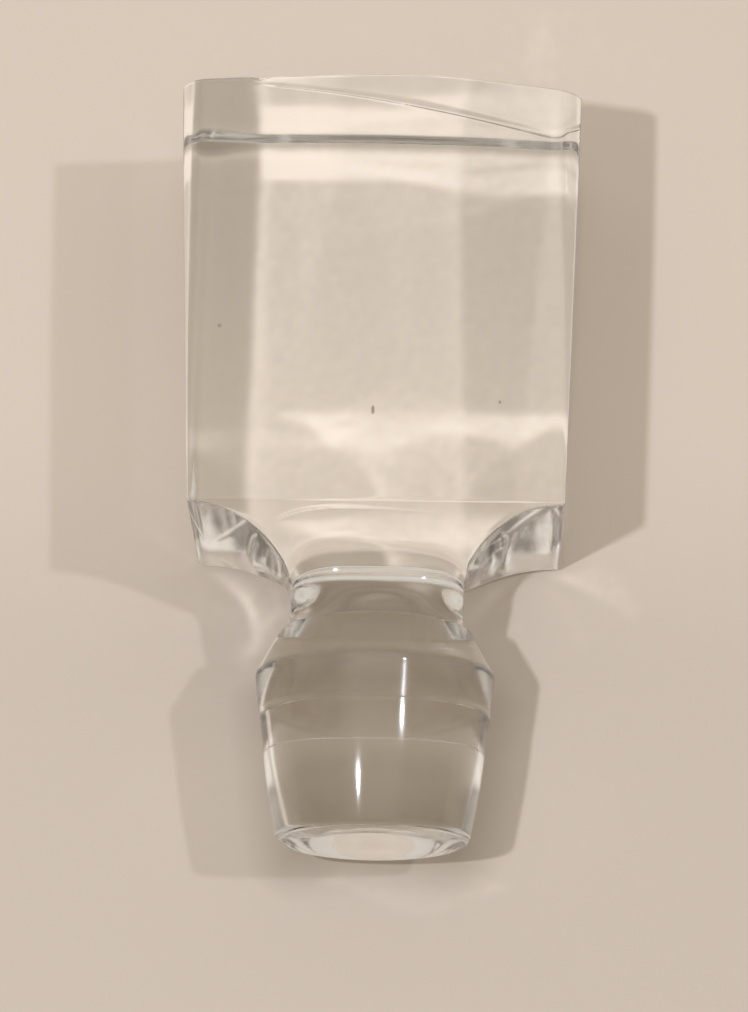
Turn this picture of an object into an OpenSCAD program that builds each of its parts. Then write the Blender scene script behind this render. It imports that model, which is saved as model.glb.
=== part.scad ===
// Glass stopper for a decanter: a solid block head that runs in, by a cove on
// each side and a bulging belly in front and behind, to a short squarish neck,
// with a round flared shoulder and a ground tapered plug.
// One moulded piece of clear glass. It is modelled lying as it comes to rest,
// on the back face of its head.
// Millimetres. The head's top points to +Y, the plug to -Y, the table is Z = 0.
// Inside the modules the stopper stands plug down: its own axis is Z, the head's
// bottom edge is Z = 0, and its back is towards +Y.

/* [Head] */
// Width of the head across its top
head_width_top = 40.0; // [36:0.1:44]
// Width of the head at its bottom edge
head_width_bottom = 36.9; // [34:0.1:40]
// Depth of the head, front to back, at its top
head_depth_top = 27.8; // [25:0.1:31]
// Depth of the head, front to back, at its bottom edge
head_depth_bottom = 27.0; // [24.5:0.1:30]
// Height of the head, from its bottom edge to the level its top is ground from
head_height = 43.5; // [41:0.1:48]
// Rounding of the four upright corners, where the blank was moulded
corner_radius = 3.0; // [1.5:0.1:4]

/* [Ground top] */
// Fall of the flat cone that the top is ground to, in degrees
top_fall = 5.7; // [4:0.1:7]
// How far the point of that cone stands in front of the axis
top_point_front = 21.4; // [18:0.1:24]
// How far the point of that cone stands to the right of the axis
top_point_right = 4.6; // [2:0.1:7]
// Lean of the top towards the front, in degrees
top_lean_front = 4.2; // [3:0.1:5]
// Lean of the top towards the right, in degrees
top_lean_right = 2.5; // [1.5:0.1:3.5]
// Height on the back face at which the back edge's bevel starts
bevel_height = 41.4; // [40.2:0.1:41.8]
// Turn of the second bevel that takes off the back left corner, in degrees
corner_turn = 11.8; // [8:0.1:15]
// How far left of the axis the second bevel starts
corner_left = 12.5; // [10:0.1:15]
// Radius of the small chip in the top's front edge
chip_radius = 1.1; // [0.6:0.1:1.6]
// How far the chip lies to the left of the axis
chip_left = 12.2; // [8:0.1:15]

/* [Underside] */
// Radius of the cove cut under each side of the head
side_cove_radius = 11.5; // [11:0.1:12]
// Distance from the axis to the centre line of a side cove
side_cove_out = 18.0; // [17.6:0.1:18.6]
// Depth below the head's bottom edge of a side cove's centre line
side_cove_down = 12.1; // [11.6:0.1:12.6]
// Radius of the bulging belly under the front and the back of the head
belly_radius = 30.0; // [29.6:0.1:31]
// How far past the axis the belly's centre line lies
belly_past = 4.95; // [4.6:0.05:5.3]
// Height of the belly's centre line above the head's bottom edge
belly_up = 23.35; // [23:0.05:24]

/* [Neck and shoulder] */
// Half the width of the neck at its waist
waist_radius = 8.6; // [8.3:0.05:8.8]
// Half the depth of the neck, front to back, at its waist
waist_half_depth = 7.2; // [6.8:0.05:8]
// Depth of the waist below the head's bottom edge
waist_down = 6.7; // [6.4:0.1:7]
// Radius of the hollow corner between the neck and the head at the sides
side_fillet = 4.3; // [3.8:0.1:4.8]
// Radius of the hollow corner between the neck and the head in front and behind
front_fillet = 5.2; // [4.6:0.1:5.6]
// Radius of the hollow curve below the waist
waist_curve = 12.0; // [10:0.5:14]
// Depth at which the flare leaves the neck
flare_down = 10.6; // [10:0.1:11.2]
// Radius of the shoulder, at the corner where the flare meets its band
shoulder_radius = 11.9; // [11.6:0.05:12.2]
// Depth of that corner below the head's bottom edge
shoulder_down = 15.0; // [14.5:0.1:15.5]
// Rounding of that corner
shoulder_rounding = 1.8; // [0.8:0.1:2.4]

/* [Ground plug] */
// Radius of the ground taper at its large end
plug_radius_top = 11.3; // [11.1:0.05:11.5]
// Radius of the ground taper at its small end
plug_radius_end = 9.5; // [9.2:0.05:9.8]
// Depth of the taper's large end below the head's bottom edge
plug_top_down = 19.4; // [18.8:0.1:20]
// Depth of the plug's end below the head's bottom edge
plug_end_down = 31.75; // [30:0.05:33]
// How far the taper bulges past a straight side
plug_bulge = 0.2; // [0.05:0.01:0.25]
// Rounding of the plug's end rim
end_rounding = 0.7; // [0.3:0.05:1]
// Radius of the mouth of the shallow polished hollow in the end
hollow_radius = 6.4; // [4:0.1:7.5]
// Depth of the hollow in the end
hollow_depth = 0.9; // [0.4:0.05:1.4]

/* [Show] */
// Sub-part to show

/* [Hidden] */
$fn = 120;
clear_colour = [0.93, 0.95, 0.93];
over = 30;            // reach of the cutting blocks past the glass
core_down = flare_down - 2;   // the head's core ends here, buried inside the neck

// slope of the head's faces against its axis
side_slope = (head_width_top - head_width_bottom) / 2 / head_height;
depth_slope = (head_depth_top - head_depth_bottom) / 2 / head_height;
rest_angle = atan(depth_slope);

// radius of the neck's hollow curve where the flare leaves it
curve_down = waist_down + 0.5;   // centre of that curve, a little below the corner's
neck_foot = waist_radius + waist_curve
          - sqrt(waist_curve * waist_curve - (flare_down - curve_down) * (flare_down - curve_down));

// slopes of the flare and of the shoulder band against the axis
flare_slope = atan((shoulder_radius - neck_foot) / (shoulder_down - flare_down));
band_slope = atan((shoulder_radius - plug_radius_top) / (plug_top_down - shoulder_down));

// rounded shoulder: the arc touches the flare and the band
flare_out = [cos(flare_slope), sin(flare_slope)];
band_out = [cos(band_slope), -sin(band_slope)];
shoulder_c = [shoulder_radius, -shoulder_down]
           - shoulder_rounding / (1 + flare_out * band_out) * (flare_out + band_out);

// circle through the ground taper's two ends and its bulge
taper_dr = plug_radius_top - plug_radius_end;
taper_dz = plug_end_down - plug_top_down;
taper_chord = sqrt(taper_dr * taper_dr + taper_dz * taper_dz);
taper_r = (taper_chord * taper_chord / 4 + plug_bulge * plug_bulge) / (2 * plug_bulge);
taper_back = taper_r - plug_bulge;
taper_c = [(plug_radius_top + plug_radius_end) / 2 - taper_back * taper_dz / taper_chord,
           -(plug_top_down + plug_end_down) / 2 + taper_back * taper_dr / taper_chord];

// rounded end rim: the arc touches the taper and the flat end
rim_z = -plug_end_down + end_rounding;
rim_reach = taper_r - end_rounding;
rim_c = [taper_c[0] + sqrt(rim_reach * rim_reach - (rim_z - taper_c[1]) * (rim_z - taper_c[1])), rim_z];

// sphere of the hollow in the end
hollow_r = (hollow_radius * hollow_radius + hollow_depth * hollow_depth) / (2 * hollow_depth);

// place of the stopper on the table: its box is centred on the origin
lie_y_high = head_height - 0.32;  // about where the top's front edge stands highest
lie_y_low = -plug_end_down * cos(rest_angle) - rim_c[0] * sin(rest_angle);
mid_y = (lie_y_high + lie_y_low) / 2;
rest_lift = head_depth_bottom / 2 * cos(rest_angle);

// Plan of the moulded blank: a rectangle with four rounded corners
module blank_plan() {
    w = head_width_top / 2;
    d = head_depth_top / 2;
    r = corner_radius;
    square([2 * w, 2 * d - 2 * r], center = true);
    square([2 * w - 2 * r, 2 * d], center = true);
    for (x = [-1, 1], y = [-1, 1])
        translate([x * (w - r), y * (d - r)]) circle(r);
}

// Half width of a pair of slanting faces at a height
function half_width(z) = head_width_bottom / 2 + side_slope * z;
function half_depth(z) = head_depth_bottom / 2 + depth_slope * z;

// Blank with its four faces ground flat and slanting in towards the neck
module ground_block() {
    top = head_height + 3;
    intersection() {
        translate([0, 0, -core_down])
            linear_extrude(core_down + top) blank_plan();
        rotate([90, 0, 0]) translate([0, 0, -over])
            linear_extrude(2 * over)
                polygon([[-half_width(-core_down), -core_down], [half_width(-core_down), -core_down],
                         [half_width(top), top], [-half_width(top), top]]);
        rotate([90, 0, 90]) translate([0, 0, -over])
            linear_extrude(2 * over)
                polygon([[-half_depth(-core_down), -core_down], [half_depth(-core_down), -core_down],
                         [half_depth(top), top], [-half_depth(top), top]]);
    }
}

// Block whose top is the flat cone that the head's top is ground to
module ground_top() {
    reach = 2 * over;
    translate([top_point_right, -top_point_front, head_height])
        rotate([top_lean_front, top_lean_right, 0])
            rotate_extrude()
                polygon([[0, 0], [0, -reach], [reach, -reach], [reach, -reach * tan(top_fall)]]);
}

// Cutting block for a bevel at 45 degrees along the top's back edge, from a
// place left of the axis and turned down to the left
module back_bevel(left, turn) {
    translate([-left, half_depth(bevel_height), bevel_height])
        rotate([0, -turn, 0])
            rotate([-45, 0, 0])
                translate([-over, -over, 0]) cube([2 * over, 2 * over, over]);
}

// Side outline of the belly under the front and the back of the head
module belly_outline() {
    intersection() {
        translate([belly_past, belly_up]) circle(belly_radius);
        translate([-belly_past, belly_up]) circle(belly_radius);
    }
}

// Head: ground on top, cut away below by a cove on each side
module head() {
    difference() {
        intersection() {
            ground_block();
            ground_top();
            rotate([90, 0, 90]) translate([0, 0, -over])
                linear_extrude(2 * over) belly_outline();
        }
        for (side = [-1, 1])
            translate([side * side_cove_out, over, -side_cove_down])
                rotate([90, 0, 0]) cylinder(r = side_cove_radius, h = 2 * over);
        back_bevel(0, 0);
        back_bevel(corner_left, corner_turn);
        translate([-chip_left, -half_depth(head_height) - 0.4, head_height])
            sphere(chip_radius);
    }
}

// Radius of the flare's straight side at a height, also above its start
function flare_radius(z) = shoulder_radius - tan(flare_slope) * (z + shoulder_down);

// Radius of the shoulder band's straight side at a height, also below its end
function band_radius(z) = shoulder_radius + tan(band_slope) * (z + shoulder_down);

// Half outline of the round part: neck, flare, shoulder band and ground plug
module round_outline() {
    flare_start = -flare_down + 2;
    band_end = -plug_top_down - 2;
    taper_start = -plug_top_down + 2;
    difference() {
        translate([0, -waist_down]) square([waist_radius + side_fillet / 2, waist_down - 1.8]);
        translate([waist_radius + side_fillet, -waist_down]) circle(side_fillet);
    }
    difference() {
        translate([0, -flare_down - 1.2]) square([waist_radius + 1, flare_down - waist_down + 2.7]);
        translate([waist_radius + waist_curve, -curve_down]) circle(waist_curve);
    }
    difference() {
        polygon([[0, flare_start], [flare_radius(flare_start), flare_start],
                 [shoulder_radius, -shoulder_down], [band_radius(band_end), band_end], [0, band_end]]);
        rounding_cutter(shoulder_c, shoulder_rounding, flare_out, band_out);
    }
    difference() {
        intersection() {
            translate([0, -plug_end_down])
                square([plug_radius_top + 1, plug_end_down + taper_start]);
            translate(taper_c) circle(taper_r);
        }
        rounding_cutter(rim_c, end_rounding, (rim_c - taper_c) / rim_reach, [0, -1]);
        translate([0, -plug_end_down - hollow_r + hollow_depth]) circle(hollow_r);
    }
}

// Side outline of the neck, the flare and all below it: the hollow corner under
// the belly, the neck's flat faces and the flare's flats
module neck_outline() {
    wide = shoulder_radius + 0.7;
    foot = waist_half_depth + 0.2;
    lean = (shoulder_radius - foot) / (shoulder_down - flare_down);
    wide_down = flare_down + (wide - foot) / lean;
    top = waist_half_depth + 0.6 * front_fillet;
    join = waist_half_depth + front_fillet - sqrt(front_fillet * front_fillet - 0.25);
    half = [[top, -1.6], [top, -curve_down], [join, -curve_down], [foot, -flare_down],
            [wide, -wide_down], [wide, -plug_end_down - 1]];
    difference() {
        polygon(concat(half, [for (i = [len(half) - 1 : -1 : 0]) [-half[i][0], half[i][1]]]));
        for (side = [-1, 1])
            translate([side * (waist_half_depth + front_fillet), -waist_down]) circle(front_fillet);
    }
}

// What a rounding takes off a corner, between the two ways its arc faces
module rounding_cutter(centre, radius, way_a, way_b) {
    difference() {
        translate(centre)
            polygon([[0, 0], 2 * radius * way_a, 2 * radius * (way_a + way_b), 2 * radius * way_b]);
        translate(centre) circle(radius + 0.001);
    }
}

// Whole stopper, plug down
module standing_stopper() {
    intersection() {
        union() {
            head();
            rotate_extrude() round_outline();
        }
        rotate([90, 0, 90]) translate([0, 0, -over]) {
            linear_extrude(2 * over) belly_outline();
            linear_extrude(2 * over) neck_outline();
        }
    }
}

// Stopper lying on the back face of its head
module stopper() {
    color(clear_colour)
        translate([0, -mid_y, rest_lift])
            rotate([rest_angle - 90, 0, 0])
                standing_stopper();
}

stopper();
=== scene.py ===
import math

import bpy
import numpy as np
from mathutils import Matrix, Vector


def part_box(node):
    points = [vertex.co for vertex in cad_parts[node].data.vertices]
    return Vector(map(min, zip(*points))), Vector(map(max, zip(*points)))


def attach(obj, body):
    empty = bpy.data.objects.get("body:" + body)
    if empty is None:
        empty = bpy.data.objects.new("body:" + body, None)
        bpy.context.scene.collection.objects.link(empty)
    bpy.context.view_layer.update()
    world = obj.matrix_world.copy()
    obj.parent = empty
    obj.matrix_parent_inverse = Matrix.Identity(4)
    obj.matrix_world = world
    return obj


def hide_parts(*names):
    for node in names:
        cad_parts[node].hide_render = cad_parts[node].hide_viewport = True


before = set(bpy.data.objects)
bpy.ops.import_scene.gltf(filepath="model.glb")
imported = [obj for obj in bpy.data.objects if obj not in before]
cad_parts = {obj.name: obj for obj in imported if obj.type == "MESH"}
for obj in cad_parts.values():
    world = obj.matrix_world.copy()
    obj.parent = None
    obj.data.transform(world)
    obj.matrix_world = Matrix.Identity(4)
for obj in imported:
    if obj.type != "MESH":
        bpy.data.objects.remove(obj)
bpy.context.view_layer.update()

STOPPER_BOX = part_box("stopper")
MM = 0.001    # metres in a millimetre

# ---------------------------------------------------------------- glass sizes
# Millimetres and degrees. The stopper stands plug down here: its axis is Z, the
# bottom edge of its head is Z = 0, its front is -Y and its back +Y.

# Block of the head. A pair is (at its bottom edge, at its top). core is how far
# down the head's own glass reaches, inside the neck.
HEAD = dict(width=(36.9, 40.0), depth=(27.0, 27.8), height=43.5, corner=3.0, core=8.6)
# The top is ground to a flat, leaning cone, whose point stands off the axis.
TOP = dict(fall=5.7, point=(4.6, -21.4), lean_front=4.2, lean_right=2.5)
# A crease runs across the ground top, along a curve that gives y for x. Behind it
# the top falls faster, and bend is the rounding there. The crease is a shallow
# groove, a little wider towards the right, that fades out at both ends.
CREASE = dict(curve=(-3.2, 0.585, 0.003), fall=0.042, bend=0.25, width=(0.78, 0.022), depth=0.2,
              ends=(-13.0, 19.0), fade=3.0)
# Extra rounding of the top's edge, which comes in from start and is full at the back.
BACK_EDGE = dict(rounding=1.3, start=8.0, over=4.0)
# A slanting facet takes off the back left corner.
BACK_CORNER = dict(left=12.5, height=41.5, turn=11.8, lean=45.0)
# Small chip in the top's front edge, its middle a little proud of the front face.
CHIP = dict(radius=1.1, left=12.2, proud=0.4, edge=0.08)
# Hollow cut under each side of the head, and the crowned belly in front and behind.
SIDE_COVE = dict(radius=11.5, out=18.0, down=12.1)
BELLY = dict(radius=30.0, past=4.97, up=23.35)
# Neck: half is (half width, half depth) at the waist, power makes it squarish, and
# fillets is (at the sides, in front and behind). curve is the hollow below the
# waist, and round_over the height in which the neck turns round above the flare.
# Its own glass reaches top up inside the head and foot down inside the flare.
NECK = dict(half=(8.6, 7.5), power=3.3, turn=5.0, waist_at=-7.2, fillets=(4.6, 6.5), fillet_reach=0.75,
            curve=40.0, round_over=3.4, top=1.5, foot=1.2)
# Flare: a cone that starts on a small ledge round the neck, where its radius is foot.
FLARE = dict(start=-10.6, foot=9.5, end=-15.0, radius=11.9, rounding=0.3, ledge_edge=0.12, fill=0.3)
# Ground plug: radii is (large end, small end). The band above it stands out past
# it by step, and the plug's own glass reaches root up inside that band.
PLUG = dict(start=-19.4, end=-31.75, radii=(11.3, 9.5), bulge=0.2, rim=0.7, step=0.08, step_edge=0.08,
            step_fill=0.03, root=2.0, hollow_radius=6.4, hollow_depth=0.9, hollow_edge=0.5)

ARRIS = 0.28    # width over which a ground edge is rounded
JOIN = 0.45     # width over which the corner between head and neck is filled
SEAM = 0.1      # width of a rounding that is buried in the glass

# ------------------------------------------------------------- mesh of the glass
# A list of pairs runs through its values, each with the steps to the next one.
QUARTER_TURN = [(0.0, 22), (27.0, 34), (42.0, 30), (90.0, 0)]    # bearings, closest at a corner
CROWN_SHARES = [(0.06, 22), (0.9, 8), (1.0, 0)]                  # rings over the top, as shares
EDGE_LEANS = [(84, 5), (66, 14), (38, 12), (14, 4), (0, 0)]      # fan of rings over the top edge
HEAD_RINGS = 22                                                  # rings down the head's flat faces
LOWER_HEIGHTS = [(1.0, 5), (0.0, 10), (-0.8, 14), (-2.2, 16), (-4.6, 16), (-7.4, 12),
                 (-10.3, 6), (-10.5, 14), (-10.75, 6), (-14.4, 4), (-14.8, 10),
                 (-15.3, 8), (-19.3, 10), (-19.5, 16), (-30.3, 0)]
RIM_LEANS = [(0, 4), (20, 12), (76, 4), (90, 0)]                 # fan of rings over the plug's rim
END_SHARES = [(0.97, 10), (0.66, 8), (0.06, 0)]                  # rings over the plug's end
EDGE_FAN = dict(below=4.0, inside=2.6, next_ring=0.6)    # from the top, the walls and the first ring
RIM_FAN = dict(above=1.25, inside=1.6)                   # from the plug's end and its side
LONGEST_RAY = dict(wall=40, top=12, tip=6)
HALVINGS = 34                                            # that find the surface along a ray
NORMAL_STEP = 2e-4                                       # between the points that give a slope

# -------------------------------------------------------------- glass and table
GLASS_IOR = 1.52
GLASS_TINT = (0.97, 0.975, 0.965)
SMEARS = dict(scale=110, detail=3, seen=(0.52, 0.74), roughness=(0.06, 0.12))
WAVES = dict(scale=75, detail=1, depth=0.00006)
# small marks on the head's front, in metres: middle, half sizes, and what they let through
SPECKS = [
    ((-0.0004, 0.0029, 0.0272), (0.00017, 0.00048), (0.22, 0.20, 0.08)),
    ((-0.0156, 0.0113, 0.0273), (0.0002, 0.0002), (0.5, 0.46, 0.38)),
    ((0.012, 0.0038, 0.0272), (0.00015, 0.00018), (0.45, 0.42, 0.36)),
]
SPECK_EDGE = (0.7, 1.2)    # a speck fades out between these shares of its size
SPECK_REACH = 0.001        # half its size into the glass

TABLE_COLOUR = (0.69, 0.60, 0.515)
# painted shade: the table's colour is a little darker on the plug's side, where less light falls; it changes
# between two places along Y, in metres
TABLE_PAINTED_SHADE = dict(colour=(0.61, 0.53, 0.455), ends=(-0.020, 0.014))
TABLE_GLOSS = dict(roughness=0.6, specular=0.2)
TABLE_LEVEL = -0.2         # just clear of the glass, in millimetres
TABLE_SPAN = dict(x=(-80, 80), y=(-75, 65), cell=0.4, far=1500)
# Painted shade in the table's colour for the room's light that it loses under the glass: a share under the
# head and another under the plug, by where the glass is at this level above the table.
SHADE = dict(level=12.0, spread=7.0, head=0.07, plug=0.37, plug_from=-8.0, plug_over=6.0,
             warmth=(1.0, 1.08, 1.2))

# ---------------------------------------------------------------------- lights
# Lamps in millimetres. light is the share of its full light that a lamp gives the table.
LAMP_COLOUR = (0.97, 1.0, 1.07)
LAMPS = {
    "left_lamp": dict(toward=(-0.272, -0.193, 1), distance=540, width=18, light=0.315),
    "right_lamp": dict(toward=(0.540, 0.012, 1), distance=1600, width=50, light=0.135),
}
# how bright the room is, from level with the table (0) to straight overhead (1)
ROOM_NEAR_PLUG = [(0.0, 0.06), (0.45, 0.10), (0.60, 0.32), (0.80, 0.42), (0.93, 1.0)]
ROOM_NEAR_HEAD = [(0.0, 0.62), (0.45, 0.68), (0.60, 0.60), (0.80, 0.46), (0.93, 1.0)]
ROOM_ENDS = (-0.25, 0.25)  # between these along Y the plug's side of the room gives way to the head's
ROOM_COLOUR = (1.0, 0.93, 0.83)
ROOM_DARK = (1.0, 0.80, 0.62)
DARK_BELOW = 0.25          # levels up to this have the dark tint
ROOM_STRENGTH = 1.25

# The light that the glass throws on the table: a fine grid of rays from each lamp,
# aimed at a level half way up the glass and followed from just above it, each for
# as many meetings with the glass as bounces says.
RAYS = dict(pitch=0.16, x=(-34, 34), y=(-44, 50), level=14.0, start=40.0, seed=5, bounces=9)
# Steps along a ray: how many, how near touches, the share of the free distance that
# is taken and the least step, where a ray has left upwards, and the lift off the glass.
MARCH = dict(steps=160, touch=2e-4, stride=0.98, least=1e-4, ceiling=60.0, lift=1e-3)
# Share of the light that goes on as one beam through the ground faces, the cast side
# walls (which face this much to a side), and the shoulder and ground plug.
CLEAR = dict(faces=0.98, walls=0.22, plug=0.55, wall_facing=0.8)
BLUR = dict(reach=3, width=0.8)    # in cells of the table
BRIGHTEST = 0.9                    # most light on one spot, as a share of the table's full light

# ---------------------------------------------------------------------- camera
# Metres and radians: side turns it towards the right, tip leans it back from straight
# overhead, towards the plug's side, and roll turns the picture. lens and film are in millimetres.
CAMERA = dict(target=(-0.00061, 0.00056, 0), side=0.0166, tip=0.2667, roll=0.0161, distance=0.5512,
              lens=191.2, film=36)
BOUNCES = dict(max_bounces=16, transmission_bounces=16, transparent_max_bounces=16,
               glossy_bounces=8, diffuse_bounces=3)

MIX_A, MIX_B, MIX_RESULT = 6, 7, 2    # a Mix node's sockets for colours


# ---------------------------------------------------------------- glass shape
def outer(a, b, k):
    """Overlap of two solids, with the edge between them rounded."""
    h = np.maximum(k - np.abs(a - b), 0.0) / k
    return np.maximum(a, b) + h * h * k / 4


def inner(a, b, k):
    """Union of two solids, with the corner between them filled."""
    return -outer(-a, -b, k)


def arc_edge(a, b, radius):
    """Overlap of two solids with a true arc on their edge, measured from the arc's centre."""
    return np.hypot(np.maximum(a, 0), np.maximum(b, 0)) + np.minimum(np.maximum(a, b), 0) - radius


def arc_through(half_chord, rise):
    """Radius of the arc over a chord that stands out by the rise."""
    return (half_chord ** 2 + rise ** 2) / (2 * rise)


def half_depth(z):
    """How far the head's front and back stand from the axis at a height."""
    low, high = HEAD["depth"]
    return low / 2 + (high - low) / 2 / HEAD["height"] * z


def slanting_faces(across, z, sizes):
    """Distance outside a pair of faces that come in towards the neck."""
    low, high = sizes
    slope = (high - low) / 2 / HEAD["height"]
    return (np.abs(across) - low / 2 - slope * z) / math.hypot(1, slope)


def block_gap(x, y, z):
    """Distance outside the head's block: four slanting faces and rounded upright corners."""
    sides = slanting_faces(x, z, HEAD["width"])
    faces = slanting_faces(y, z, HEAD["depth"])
    r = HEAD["corner"]
    corners = arc_edge(np.abs(x) - HEAD["width"][1] / 2 + r, np.abs(y) - HEAD["depth"][1] / 2 + r, r)
    return outer(outer(sides, faces, ARRIS), corners, ARRIS)


def crease_gap(x, y):
    """What the crease takes off the ground top: its groove, and the faster fall behind it."""
    c0, c1, c2 = CREASE["curve"]
    behind = (y - c0 - c1 * x - c2 * x * x) / np.hypot(1, c1 + 2 * c2 * x)
    left, right = CREASE["ends"]
    fade = np.clip((x - left) / CREASE["fade"], 0, 1) * np.clip((right - x) / CREASE["fade"], 0, 1)
    half = CREASE["width"][0] + CREASE["width"][1] * x
    groove = CREASE["depth"] * half * np.exp(-(behind / half) ** 2) * fade
    return groove, CREASE["fall"] * (behind + np.hypot(behind, CREASE["bend"])) / 2


def top_gap(x, y, z):
    """Distance above the ground top: a leaning flat cone with a crease across it."""
    a, b = math.radians(TOP["lean_front"]), math.radians(TOP["lean_right"])
    dx, dy, dz = x - TOP["point"][0], y - TOP["point"][1], z - HEAD["height"]
    u = math.cos(b) * dx - math.sin(b) * dz
    v = math.sin(b) * math.sin(a) * dx + math.cos(a) * dy + math.cos(b) * math.sin(a) * dz
    w = math.sin(b) * math.cos(a) * dx - math.sin(a) * dy + math.cos(b) * math.cos(a) * dz
    fall = math.radians(TOP["fall"])
    groove, behind = crease_gap(x, y)
    return math.cos(fall) * w + math.sin(fall) * np.hypot(u, v) + groove + behind


def back_corner_gap(x, y, z):
    """Distance outside the facet that takes off the back left corner."""
    lean, turn = math.radians(BACK_CORNER["lean"]), math.radians(BACK_CORNER["turn"])
    height = BACK_CORNER["height"]
    above = z - height - (x + BACK_CORNER["left"]) * math.tan(turn)
    return (y - half_depth(height)) * math.cos(lean) + above * math.sin(lean)


def chip_gap(x, y, z):
    """Distance inside the small chip in the top's front edge."""
    out = half_depth(HEAD["height"]) + CHIP["proud"]
    return CHIP["radius"] - np.sqrt((x + CHIP["left"]) ** 2 + (y + out) ** 2 + (z - HEAD["height"]) ** 2)


def head_gap(x, y, z):
    """Distance outside the whole head, below zero inside it."""
    back = np.clip((y - BACK_EDGE["start"]) / BACK_EDGE["over"], 0, 1)
    gap = outer(block_gap(x, y, z), top_gap(x, y, z), ARRIS + BACK_EDGE["rounding"] * back)
    cove = SIDE_COVE["radius"] - np.hypot(np.abs(x) - SIDE_COVE["out"], z + SIDE_COVE["down"])
    belly = np.hypot(np.abs(y) + BELLY["past"], z - BELLY["up"]) - BELLY["radius"]
    for cut in (cove, belly, -HEAD["core"] - z, back_corner_gap(x, y, z)):
        gap = outer(gap, cut, ARRIS)
    return outer(gap, chip_gap(x, y, z), CHIP["edge"])


def neck_side(x, y):
    """How far a point stands out from the squarish neck, and how much it faces front or back."""
    turn = math.radians(NECK["turn"])
    wide, deep = NECK["half"]
    power = NECK["power"]
    u = np.abs(x * math.cos(turn) + y * math.sin(turn)) / wide
    v = np.abs(y * math.cos(turn) - x * math.sin(turn)) / deep
    both = u ** power + v ** power
    return (both ** (1 / power) - 1) * deep, v ** power / (both + 1e-12)


def neck_gap(x, y, z):
    """Distance outside the neck: squarish at its waist, round where the flare starts."""
    side, facing = neck_side(x, y)
    rise = z - NECK["waist_at"]
    share = np.clip((FLARE["start"] + NECK["round_over"] - z) / NECK["round_over"], 0, 1)
    side = side + share * share * (3 - 2 * share) * (np.hypot(x, y) - NECK["half"][0] - side)
    at_sides, in_front = NECK["fillets"]
    bend = np.where(rise > 0, at_sides + (in_front - at_sides) * facing, NECK["curve"])
    gap = bend - np.hypot(bend - side, rise)
    gap = outer(gap, side - NECK["fillet_reach"] * bend, SEAM)
    gap = outer(gap, z - NECK["top"], SEAM)
    return outer(gap, FLARE["start"] - NECK["foot"] - z, SEAM)


def shoulder_gap(r, z):
    """Distance outside the flare and the band below it."""
    spread = (FLARE["radius"] - FLARE["foot"]) / (FLARE["start"] - FLARE["end"])
    flare = (r - FLARE["foot"] - spread * (FLARE["start"] - z)) / math.hypot(1, spread)
    ledge = PLUG["radii"][0] + PLUG["step"]
    lean = (FLARE["radius"] - ledge) / (FLARE["end"] - PLUG["start"])
    band = (r - ledge - lean * (z - PLUG["start"])) / math.hypot(1, lean)
    gap = outer(flare, band, FLARE["rounding"])
    gap = outer(gap, z - FLARE["start"], FLARE["ledge_edge"])
    return outer(gap, PLUG["start"] - z, PLUG["step_edge"])


def plug_gap(r, z):
    """Distance outside the ground plug: a bulging taper, a rounded rim and a hollow end."""
    top, end = PLUG["radii"]
    dr, dz = top - end, PLUG["start"] - PLUG["end"]
    chord, bulge = math.hypot(dr, dz), PLUG["bulge"]
    arc = arc_through(chord / 2, bulge)
    taper = np.hypot(r - (top + end) / 2 + (arc - bulge) * dz / chord,
                     z - (PLUG["start"] + PLUG["end"]) / 2 - (arc - bulge) * dr / chord) - arc
    taper = outer(taper, z - PLUG["start"] - PLUG["root"], SEAM)
    rim = PLUG["rim"]
    gap = arc_edge(taper + rim, PLUG["end"] - z + rim, rim)
    deep = PLUG["hollow_depth"]
    ball = arc_through(PLUG["hollow_radius"], deep)
    hollow = ball - np.hypot(r, z - PLUG["end"] + ball - deep)
    return outer(gap, hollow, PLUG["hollow_edge"])


def stopper_gap(x, y, z):
    """Distance outside the whole stopper, below zero inside the glass."""
    r = np.hypot(x, y)
    upper = inner(head_gap(x, y, z), neck_gap(x, y, z), JOIN)
    lower = inner(shoulder_gap(r, z), plug_gap(r, z), PLUG["step_fill"])
    return inner(upper, lower, FLARE["fill"])


def surface_normals(points):
    """Outward directions of the glass surface at the points."""
    slopes = np.stack([stopper_gap(*(points + step).T) - stopper_gap(*(points - step).T)
                       for step in np.eye(3) * NORMAL_STEP], -1)
    return slopes / np.linalg.norm(slopes, axis=-1, keepdims=True)


# ----------------------------------------------------------------- glass mesh
def surface_along(start, aim, longest):
    """Where rays from inside the glass meet its surface."""
    near = np.zeros(start.shape[:-1])
    far = np.full_like(near, longest)
    for _ in range(HALVINGS):
        half = (near + far) / 2
        at = start + aim * half[..., None]
        inside = stopper_gap(at[..., 0], at[..., 1], at[..., 2]) < 0
        near, far = np.where(inside, half, near), np.where(inside, far, half)
    return start + aim * ((near + far) / 2)[..., None]


def spaced(stops):
    """Values that run through the stops, each with its own number of steps."""
    out = []
    for (a, n), (b, _) in zip(stops, stops[1:]):
        out.extend(np.linspace(a, b, n, endpoint=False))
    return np.array(out + [stops[-1][0]])


def turns_round_axis():
    """Bearings round the axis, the same in each quarter."""
    q = spaced(QUARTER_TURN)
    full = np.concatenate([q[:-1], 180 - q[:0:-1], 180 + q[:-1], 360 - q[:0:-1]])
    return np.radians(np.sort(full))


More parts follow.
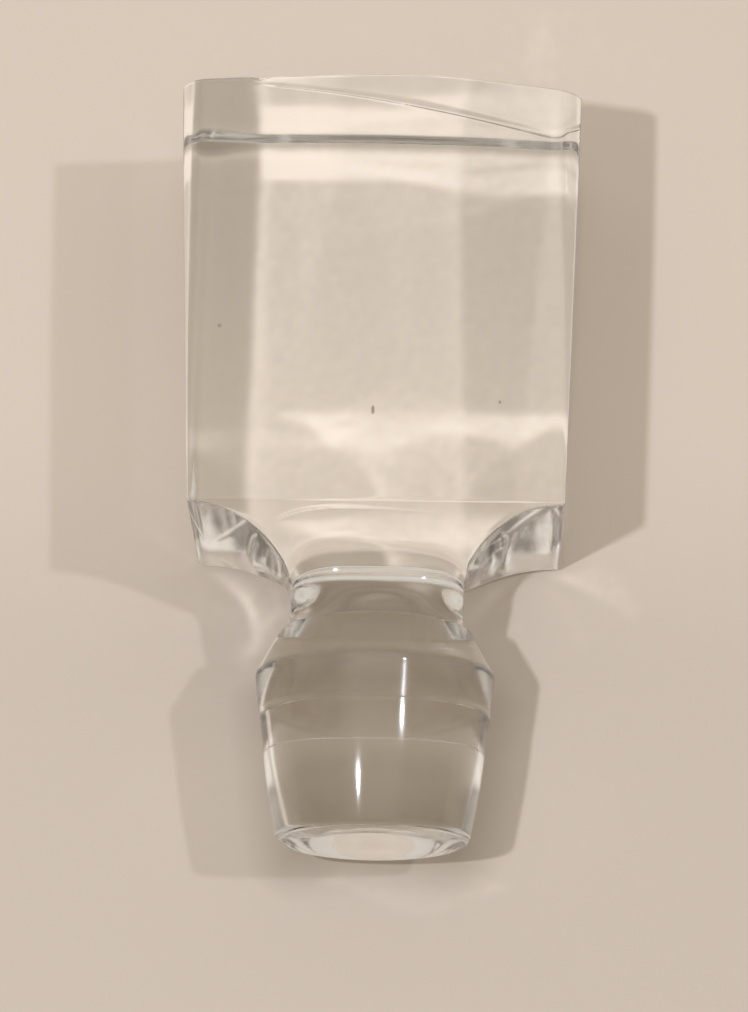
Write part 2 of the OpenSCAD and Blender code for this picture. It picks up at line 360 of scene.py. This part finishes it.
def stopper_rings():
    """Rings of points from the crown of the head down to the plug's end, and the two end points."""
    turn = turns_round_axis()
    out = np.stack([np.cos(turn), np.sin(turn), np.zeros_like(turn)], -1)
    up = np.array([0.0, 0.0, 1.0])
    ups = np.tile(up, (len(turn), 1))
    level = HEAD["height"] - EDGE_FAN["below"]
    wall = np.linalg.norm(surface_along(ups * level, out, LONGEST_RAY["wall"])[:, :2], axis=-1)
    keep = wall - EDGE_FAN["inside"]
    rings = []
    for share in spaced(CROWN_SHARES):
        start = out * (keep * share)[:, None] + up * level
        rings.append(surface_along(start, ups, LONGEST_RAY["top"]))
    for lean in np.radians(spaced(EDGE_LEANS)):
        start = out * keep[:, None] + up * level
        rings.append(surface_along(start, out * math.cos(lean) + up * math.sin(lean), LONGEST_RAY["top"]))
    for z in spaced([(level - EDGE_FAN["next_ring"], HEAD_RINGS)] + LOWER_HEIGHTS):
        rings.append(surface_along(ups * z, out, LONGEST_RAY["wall"]))
    tip, hub = PLUG["end"] + RIM_FAN["above"], PLUG["radii"][1] - RIM_FAN["inside"]
    for lean in np.radians(spaced(RIM_LEANS)):
        start = out * hub + up * tip
        rings.append(surface_along(start, out * math.cos(lean) - up * math.sin(lean), LONGEST_RAY["tip"]))
    for share in spaced(END_SHARES):
        start = out * hub * share + up * tip
        rings.append(surface_along(start, -ups, LONGEST_RAY["tip"]))
    crown = surface_along(up[None] * level, up[None], LONGEST_RAY["top"])
    foot = surface_along(up[None] * tip, -up[None], LONGEST_RAY["tip"])
    return np.array(rings), crown, foot


def ring_faces(rows, cols):
    """Faces between neighbouring rings, and a fan to the point at each end."""
    def at(i, j):
        return i * cols + j % cols

    first, last = rows * cols, rows * cols + 1
    faces = [(at(i, j), at(i + 1, j), at(i + 1, j + 1), at(i, j + 1))
             for i in range(rows - 1) for j in range(cols)]
    faces += [(first, at(0, j), at(0, j + 1)) for j in range(cols)]
    faces += [(last, at(rows - 1, j + 1), at(rows - 1, j)) for j in range(cols)]
    return faces


class Place:
    """Turn and shift that lay the standing stopper on the back of its head, in its node's box."""

    def __init__(self, standing):
        low, high = HEAD["depth"]
        rest = math.atan((high - low) / 2 / HEAD["height"])
        self.turn = np.array(Matrix.Rotation(rest - math.pi / 2, 3, "X"))
        box_low, box_high = (np.array(corner) / MM for corner in STOPPER_BOX)
        lying = self.along(standing)
        middle = (lying[:, 1].min() + lying[:, 1].max()) / 2
        self.shift = np.array([0, (box_low[1] + box_high[1]) / 2 - middle, box_low[2] - lying[:, 2].min()])

    def along(self, ways):
        """Ways of the standing stopper, as they point once it lies."""
        return ways @ self.turn.T

    def lay(self, points):
        """Points of the standing stopper, where they come once it lies."""
        return self.along(points) + self.shift

    def stand(self, points):
        """Points near the lying stopper, back in the frame in which it stands."""
        return (points - self.shift) @ self.turn


def make_stopper():
    """The glass as one closed mesh, and the place where it lies."""
    rings, crown, foot = stopper_rings()
    points = np.concatenate([rings.reshape(-1, 3), crown, foot])
    place = Place(points)
    mesh = bpy.data.meshes.new("stopper_glass")
    mesh.from_pydata((place.lay(points) * MM).tolist(), [], ring_faces(*rings.shape[:2]))
    mesh.shade_smooth()
    mesh.normals_split_custom_set_from_vertices(place.along(surface_normals(points)).tolist())
    mesh.materials.append(clear_glass())
    stopper = bpy.data.objects.new("stopper_glass", mesh)
    bpy.context.collection.objects.link(stopper)
    return stopper, place


# ---------------------------------------------------- light through the glass
def bent(way, normal, ratio):
    """Snell's law: refracted ways, the share of light reflected, and which rays can't leave."""
    cos_in = -np.sum(way * normal, -1)
    inside = 1 - ratio ** 2 * (1 - cos_in ** 2)
    held = inside < 0
    cos_out = np.sqrt(np.maximum(inside, 0))
    out = ratio[:, None] * way + (ratio * cos_in - cos_out)[:, None] * normal
    across = (ratio * cos_in - cos_out) / (ratio * cos_in + cos_out)
    along = (cos_in - ratio * cos_out) / (cos_in + ratio * cos_out)
    back = np.where(held, 1.0, (across ** 2 + along ** 2) / 2)
    return out, back, held


def march(p, way, sign, place):
    """Run rays on to the glass surface or the table, whichever comes first."""
    p = p.copy()
    live = np.arange(len(p))
    hit = np.zeros(len(p), bool)
    for _ in range(MARCH["steps"]):
        gap = sign[live] * stopper_gap(*place.stand(p[live]).T)
        at_glass = gap < MARCH["touch"]
        below = p[live, 2] < TABLE_LEVEL
        hit[live[at_glass & ~below]] = True
        keep = ~(at_glass | below | (p[live, 2] > MARCH["ceiling"]))
        live = live[keep]
        if not len(live):
            break
        p[live] += way[live] * (gap[keep] * MARCH["stride"] + MARCH["least"])[:, None]
    return p, hit


def kept_together(at, facing):
    """Share of the light that goes on as one beam: cast walls and the ground plug spread some."""
    share = np.full(len(at), CLEAR["faces"])
    share[(np.abs(facing[:, 0]) > CLEAR["wall_facing"]) & (at[:, 2] > 0)] = CLEAR["walls"]
    share[at[:, 2] < FLARE["start"]] = CLEAR["plug"]
    return share


def lamp_rays(lamp_at, lamp_width, rng):
    """Rays from points on the lamp through a fine grid: where they start, their ways and shares."""
    pitch, level = RAYS["pitch"], RAYS["level"]
    gx, gy = np.meshgrid(np.arange(*RAYS["x"], pitch), np.arange(*RAYS["y"], pitch), indexing="ij")
    n = gx.size
    aim = np.stack([gx.ravel(), gy.ravel(), np.full(n, level)], -1)
    aim[:, :2] += rng.uniform(-pitch / 2, pitch / 2, (n, 2))
    r, a = lamp_width / 2 * np.sqrt(rng.random(n)), rng.uniform(0, 2 * math.pi, n)
    axis = lamp_at / np.linalg.norm(lamp_at)
    side = np.cross(axis, (0, 1, 0))
    side /= np.linalg.norm(side)
    start = lamp_at + r[:, None] * (np.cos(a)[:, None] * side + np.sin(a)[:, None] * np.cross(axis, side))
    way = aim - start
    far = np.linalg.norm(way, axis=-1)
    way /= far[:, None]
    full = axis[2] / np.dot(lamp_at, lamp_at)
    share = -way[:, 2] / far ** 2 / full * pitch ** 2
    return aim + way * ((RAYS["start"] - level) / way[:, 2])[:, None], way, share


def light_on_table(lamp_at, lamp_width, place, xs, ys, rng):
    """Share of a lamp's own light on the table that reaches each cell through the glass."""
    p, way, weight = lamp_rays(lamp_at, lamp_width, rng)
    sign = np.ones(len(p))    # 1 outside the glass, -1 inside
    total = np.zeros((len(xs) - 1, len(ys) - 1))
    for bounce in range(RAYS["bounces"]):
        p, hit = march(p, way, sign, place)
        if bounce > 0:
            land = ~hit & (sign > 0) & (p[:, 2] < TABLE_LEVEL)
            back = (p[land, 2] - TABLE_LEVEL) / way[land, 2]
            spot = p[land] - way[land] * back[:, None]
            total += np.histogram2d(spot[:, 0], spot[:, 1], (xs, ys), weights=weight[land])[0]
        p, way, sign, weight = p[hit], way[hit], sign[hit], weight[hit]
        if not len(p):
            break
        stand = place.stand(p)
        facing = surface_normals(stand)
        weight = weight * kept_together(stand, facing)
        normal = place.along(facing) * sign[:, None]
        out, back, held = bent(way, normal, np.where(sign > 0, 1 / GLASS_IOR, GLASS_IOR))
        mirror = way - 2 * np.sum(way * normal, -1)[:, None] * normal
        on_p = p + normal * np.where(held, MARCH["lift"], -MARCH["lift"])[:, None]
        on_way = np.where(held[:, None], mirror, out)
        on_sign = np.where(held, sign, -sign)
        on_weight = np.where(held, weight, weight * (1 - back))
        if bounce == 0:
            # outside, the reflected part is followed as well; inside, only what can't get out
            on_p = np.concatenate([on_p, p + normal * MARCH["lift"]])
            on_way = np.concatenate([on_way, mirror])
            on_sign = np.concatenate([on_sign, sign])
            on_weight = np.concatenate([on_weight, weight * back])
        p, way, sign, weight = on_p, on_way, on_sign, on_weight
    return total / np.outer(np.diff(xs), np.diff(ys))


def light_through_glass(place, xs, ys):
    """Light of both lamps through the glass, as a share of the table's full light, softly blurred."""
    rng = np.random.default_rng(RAYS["seed"])
    share = np.zeros((len(xs) - 1, len(ys) - 1))
    for spec in LAMPS.values():
        way = np.array(spec["toward"]) / np.linalg.norm(spec["toward"])
        share += spec["light"] * light_on_table(way * spec["distance"], spec["width"], place, xs, ys, rng)
    reach = BLUR["reach"]
    kernel = np.exp(-np.arange(-reach, reach + 1) ** 2 / (2 * BLUR["width"] ** 2))
    kernel /= kernel.sum()
    for axis in (0, 1):
        share = np.apply_along_axis(np.convolve, axis, share, kernel, "same")
    share = np.minimum(share, BRIGHTEST)
    share[[0, -1]] = 0
    share[:, [0, -1]] = 0
    return share


def shade_under_glass(points, place):
    """Painted shade: how much of the room's light the table keeps under the glass, as a warm grey."""
    stand = place.stand(points + (0, 0, SHADE["level"]))
    cover = np.clip(0.5 - stopper_gap(*stand.T) / SHADE["spread"], 0, 1)
    plug = np.clip((SHADE["plug_from"] - stand[:, 2]) / SHADE["plug_over"], 0, 1)
    lost = cover * (SHADE["head"] + (SHADE["plug"] - SHADE["head"]) * plug)
    return np.stack([1 - warm * lost for warm in SHADE["warmth"]] + [np.ones_like(lost)], -1)


# ------------------------------------------------------------------ materials
def new_material(name):
    """A material with its node tree and its Principled shader."""
    material = bpy.data.materials.new(name)
    material.use_nodes = True
    return material, material.node_tree, material.node_tree.nodes["Principled BSDF"]


def vector_math(tree, operation, vector, by=None):
    """A Vector Math node fed by one socket and a constant."""
    node = tree.nodes.new("ShaderNodeVectorMath")
    node.operation = operation
    tree.links.new(vector, node.inputs[0])
    if by is not None:
        node.inputs[1].default_value = by
    return node


def map_range(tree, value, seen, given=(0, 1), smooth=False):
    """A value moved from one range to another."""
    node = tree.nodes.new("ShaderNodeMapRange")
    if smooth:
        node.interpolation_type = "SMOOTHSTEP"
    for key, bound in zip(("From Min", "From Max", "To Min", "To Max"), (*seen, *given)):
        node.inputs[key].default_value = bound
    tree.links.new(value, node.inputs["Value"])
    return node.outputs[0]


def mix_colours(tree, factor, a, b, blend="MIX"):
    """Two colours, each a constant or a socket, mixed by a factor."""
    node = tree.nodes.new("ShaderNodeMix")
    node.data_type = "RGBA"
    node.blend_type = blend
    for given, socket in ((factor, node.inputs["Factor"]), (a, node.inputs[MIX_A]), (b, node.inputs[MIX_B])):
        if isinstance(given, bpy.types.NodeSocket):
            tree.links.new(given, socket)
        else:
            socket.default_value = (*given, 1) if isinstance(given, tuple) else given
    return node.outputs[MIX_RESULT]


def noise(tree, where, scale, detail):
    """Smooth noise over the object."""
    node = tree.nodes.new("ShaderNodeTexNoise")
    node.inputs["Scale"].default_value = scale
    node.inputs["Detail"].default_value = detail
    tree.links.new(where, node.inputs["Vector"])
    return node.outputs["Fac"]


def surface_wear():
    """Smears, cast waviness and small specks over the glass."""
    tree = bpy.data.node_groups.new("surface_wear", "ShaderNodeTree")
    for name, kind in (("Roughness", "Float"), ("Height", "Float"), ("Colour", "Color")):
        tree.interface.new_socket(name, in_out="OUTPUT", socket_type="NodeSocket" + kind)
    out = tree.nodes.new("NodeGroupOutput")
    where = tree.nodes.new("ShaderNodeTexCoord").outputs["Object"]
    smears = noise(tree, where, SMEARS["scale"], SMEARS["detail"])
    tree.links.new(map_range(tree, smears, SMEARS["seen"], SMEARS["roughness"]), out.inputs["Roughness"])
    waves = noise(tree, where, WAVES["scale"], WAVES["detail"])
    tree.links.new(map_range(tree, waves, (0, 1)), out.inputs["Height"])
    colour = GLASS_TINT
    for middle, half, tint in SPECKS:
        from_speck = vector_math(tree, "SUBTRACT", where, middle)
        in_sizes = vector_math(tree, "DIVIDE", from_speck.outputs[0], (*half, SPECK_REACH))
        far = vector_math(tree, "LENGTH", in_sizes.outputs[0]).outputs["Value"]
        colour = mix_colours(tree, map_range(tree, far, SPECK_EDGE), tint, colour)
    tree.links.new(colour, out.inputs["Colour"])
    return tree


def clear_glass():
    """Clear glass with smears, faint cast waves and specks."""
    material, tree, shader = new_material("clear_glass")
    shader.inputs["IOR"].default_value = GLASS_IOR
    shader.inputs["Transmission Weight"].default_value = 1.0
    wear = tree.nodes.new("ShaderNodeGroup")
    wear.node_tree = surface_wear()
    bump = tree.nodes.new("ShaderNodeBump")
    bump.inputs["Strength"].default_value = 1.0
    bump.inputs["Distance"].default_value = WAVES["depth"]
    tree.links.new(wear.outputs["Height"], bump.inputs["Height"])
    tree.links.new(bump.outputs["Normal"], shader.inputs["Normal"])
    tree.links.new(wear.outputs["Roughness"], shader.inputs["Roughness"])
    tree.links.new(wear.outputs["Colour"], shader.inputs["Base Color"])
    return material


def table_paint():
    """Pale table with painted shade, darker on the plug's side and under the glass, and a painted glow for
    the light that comes through the glass.
    """
    material, tree, shader = new_material("pale_table")
    parts = tree.nodes.new("ShaderNodeSeparateXYZ")
    tree.links.new(tree.nodes.new("ShaderNodeTexCoord").outputs["Object"], parts.inputs[0])
    # painted shade: the colour darkens towards the plug's side
    along = map_range(tree, parts.outputs["Y"], TABLE_PAINTED_SHADE["ends"], smooth=True)
    colour = mix_colours(tree, along, TABLE_PAINTED_SHADE["colour"], TABLE_COLOUR)
    # painted shade under the glass, and painted light where light comes through it
    painted_shade, painted_light = (tree.nodes.new("ShaderNodeAttribute") for _ in range(2))
    painted_shade.attribute_name, painted_light.attribute_name = "painted_shade_under_glass", "painted_light_through_glass"
    dimmed = mix_colours(tree, 1.0, colour, painted_shade.outputs["Color"], "MULTIPLY")
    tree.links.new(dimmed, shader.inputs["Base Color"])
    # painted light: the table glows with the light that comes through the glass
    tree.links.new(painted_light.outputs["Color"], shader.inputs["Emission Color"])
    shader.inputs["Emission Strength"].default_value = 1.0
    shader.inputs["Roughness"].default_value = TABLE_GLOSS["roughness"]
    shader.inputs["Specular IOR Level"].default_value = TABLE_GLOSS["specular"]
    return material


# ------------------------------------------------------------------- the table
def colour_points(mesh, name, colours):
    """Give a mesh a colour at each point."""
    layer = mesh.attributes.new(name, "FLOAT_COLOR", "POINT")
    layer.data.foreach_set("color", colours.astype(np.float32).ravel())


def make_table(place):
    """Table top, fine under the stopper, holding the light that comes through the glass as a painted glow,
    and the painted shade under the glass.
    """
    cell, far = TABLE_SPAN["cell"], TABLE_SPAN["far"]
    edges = [np.arange(low, high + cell, cell) for low, high in (TABLE_SPAN["x"], TABLE_SPAN["y"])]
    share = np.pad(light_through_glass(place, *edges), 1)
    middles = [np.concatenate([[-far], (e[1:] + e[:-1]) / 2, [far]]) for e in edges]
    gx, gy = np.meshgrid(*middles, indexing="ij")
    points = np.stack([gx, gy, np.full_like(gx, TABLE_LEVEL)], -1).reshape(-1, 3)
    rows, cols = gx.shape
    i, j = np.meshgrid(np.arange(rows - 1), np.arange(cols - 1), indexing="ij")
    k = (i * cols + j).ravel()
    faces = np.stack([k, k + cols, k + cols + 1, k + 1], -1)
    mesh = bpy.data.meshes.new("table")
    mesh.from_pydata((points * MM).tolist(), [], faces.tolist())
    mesh.materials.append(table_paint())
    tint = np.array(TABLE_COLOUR) * LAMP_COLOUR
    colour_points(mesh, "painted_light_through_glass",
                  np.concatenate([share.reshape(-1, 1) * tint, np.ones((share.size, 1))], 1))
    colour_points(mesh, "painted_shade_under_glass", shade_under_glass(points, place))
    table = bpy.data.objects.new("table", mesh)
    bpy.context.collection.objects.link(table)
    return table


# --------------------------------------------------------- lights and camera
def lamp(name, toward, distance, width, light):
    """A round lamp that gives the table the stated share of its light."""
    way = Vector(toward).normalized()
    data = bpy.data.lights.new(name, "AREA")
    data.shape = "DISK"
    data.size = width * MM
    data.color = LAMP_COLOUR
    data.energy = light * math.pi ** 2 * (distance * MM) ** 2 / way.z
    data.use_nodes = True
    tree = data.node_tree
    # a lamp isn't looked for by light scattered off the table: that light is painted on the table as a glow
    path = tree.nodes.new("ShaderNodeLightPath")
    first = tree.nodes.new("ShaderNodeMath")
    first.operation = "LESS_THAN"
    first.inputs[1].default_value = 0.5
    tree.links.new(path.outputs["Diffuse Depth"], first.inputs[0])
    tree.links.new(first.outputs[0], tree.nodes["Emission"].inputs["Strength"])
    obj = bpy.data.objects.new(name, data)
    obj.location = way * (distance * MM)
    obj.rotation_euler = way.to_track_quat("Z", "Y").to_euler()
    bpy.context.collection.objects.link(obj)


def room_ramp(tree, height, levels):
    """Warm light by height: each level with its tint."""
    ramp = tree.nodes.new("ShaderNodeValToRGB")
    tree.links.new(height, ramp.inputs[0])
    stops = ramp.color_ramp.elements
    for i, (at, level) in enumerate(levels):
        stop = stops[i] if i < len(stops) else stops.new(at)
        stop.position = at
        tint = ROOM_COLOUR if level > DARK_BELOW else ROOM_DARK
        stop.color = (*(level / ROOM_STRENGTH * c for c in tint), 1)
    return ramp.outputs["Color"]


def room_light():
    """Soft warm light from all round: a pale ceiling, and a side wall that is dark towards the plug."""
    world = bpy.data.worlds.new("room")
    world.use_nodes = True
    tree = world.node_tree
    parts = tree.nodes.new("ShaderNodeSeparateXYZ")
    tree.links.new(tree.nodes.new("ShaderNodeTexCoord").outputs["Generated"], parts.inputs[0])
    end = map_range(tree, parts.outputs["Y"], ROOM_ENDS)
    near_plug, near_head = (room_ramp(tree, parts.outputs["Z"], levels)
                            for levels in (ROOM_NEAR_PLUG, ROOM_NEAR_HEAD))
    background = tree.nodes["Background"].inputs
    tree.links.new(mix_colours(tree, end, near_plug, near_head), background["Color"])
    background["Strength"].default_value = ROOM_STRENGTH
    bpy.context.scene.world = world


def camera(target, side, tip, roll, distance, lens, film):
    """Camera above the table, looking down from the plug's side."""
    back = Vector((math.sin(side), -math.sin(tip) * math.cos(side), math.cos(tip) * math.cos(side)))
    right = (-back).cross(Vector((0, 1, 0))).normalized()
    up = right.cross(-back)
    turned_right = right * math.cos(roll) + up * math.sin(roll)
    turned_up = up * math.cos(roll) - right * math.sin(roll)
    data = bpy.data.cameras.new("camera")
    data.lens = lens
    data.sensor_width = film
    obj = bpy.data.objects.new("camera", data)
    facing = Matrix((turned_right, turned_up, back)).transposed().to_4x4()
    obj.matrix_world = Matrix.Translation(Vector(target) + back * distance) @ facing
    bpy.context.collection.objects.link(obj)
    bpy.context.scene.camera = obj


# ------------------------------------------------------------------ the scene
glass, resting_place = make_stopper()
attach(glass, "root")
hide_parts("stopper")
make_table(resting_place)
for lamp_name, lamp_spec in LAMPS.items():
    lamp(lamp_name, **lamp_spec)
room_light()
camera(**CAMERA)

scene = bpy.context.scene
scene.view_settings.view_transform = "Standard"
for kind, count in BOUNCES.items():
    setattr(scene.cycles, kind, count)
scene.cycles.caustics_refractive = True
scene.cycles.caustics_reflective = True
scene.cycles.blur_glossy = 0.0
scene.cycles.use_denoising = True
